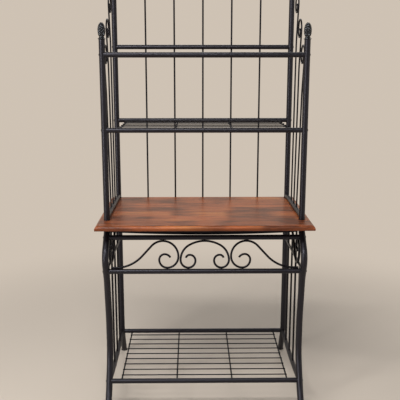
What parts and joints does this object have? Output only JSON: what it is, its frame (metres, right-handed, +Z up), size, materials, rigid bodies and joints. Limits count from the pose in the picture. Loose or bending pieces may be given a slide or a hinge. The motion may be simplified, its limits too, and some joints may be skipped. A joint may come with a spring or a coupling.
{
  "type": "bakers rack",
  "caption": "Black steel-tube bakers rack: wooden worktop on curved legs, wire shelf below, open hutch with two wire shelves, scroll-topped side rods, pine-cone finials.",
  "frame": {"origin": "on the floor, under the middle of the footprint box", "axes": "+Z up, the rack's front faces -Y, +X to its right as seen from the front"},
  "size_m": [0.914, 0.7497, 1.9375],
  "materials": {
    "iron": "satin",
    "iron_wire": "satin",
    "cast_finial": "satin",
    "wood_top": "satin",
    "fastener": "satin",
    "plug": "matte",
    "glide": "matte"
  },
  "bodies": {
    "root": {"apron_rail_bottom": "iron", "apron_rail_top": "iron", "apron_scroll_centre": "iron_wire", "apron_scroll_left": "iron_wire", "apron_scroll_right": "iron_wire", "back_wires": "iron_wire", "base_back_rail": "iron", "base_rods_left": "iron_wire", "base_rods_right": "iron_wire", "base_scroll_left": "iron_wire", "base_scroll_right": "iron_wire", "crest_rail": "iron", "finial_back_left": "cast_finial", "finial_back_right": "cast_finial", "finial_front_left": "cast_finial", "finial_front_right": "cast_finial", "frame_plugs": "plug", "glides": "glide", "guard_rail": "iron", "hutch_base_rail_left": "iron", "hutch_base_rail_right": "iron", "leg_back_left": "iron", "leg_back_right": "iron", "leg_front_left": "iron", "leg_front_right": "iron", "lower_shelf_mat": "iron_wire", "lower_shelf_rail_back": "iron", "lower_shelf_rail_front": "iron", "middle_shelf_mat": "iron_wire", "middle_shelf_rail_back": "iron", "middle_shelf_rail_front": "iron", "post_collars": "iron", "post_front_left": "iron", "post_front_right": "iron", "rail_bolts": "fastener", "rail_plugs": "plug", "side_mid_rail_left": "iron", "side_mid_rail_right": "iron", "side_shelf_rail_left": "iron", "side_shelf_rail_right": "iron", "side_top_rail_left": "iron", "side_top_rail_right": "iron", "spiral_rod_middle_left": "iron_wire", "spiral_rod_middle_right": "iron_wire", "spiral_rod_short_left": "iron_wire", "spiral_rod_short_right": "iron_wire", "spiral_rod_tall_left": "iron_wire", "spiral_rod_tall_right": "iron_wire", "strip_screws": "fastener", "studs": "fastener", "upper_shelf_mat": "iron_wire", "upper_shelf_rail_back": "iron", "upper_shelf_rail_front": "iron", "upright_back_left": "iron", "upright_back_right": "iron", "worktop": "wood_top", "worktop_strip": "iron"}
  },
  "joints": []
}
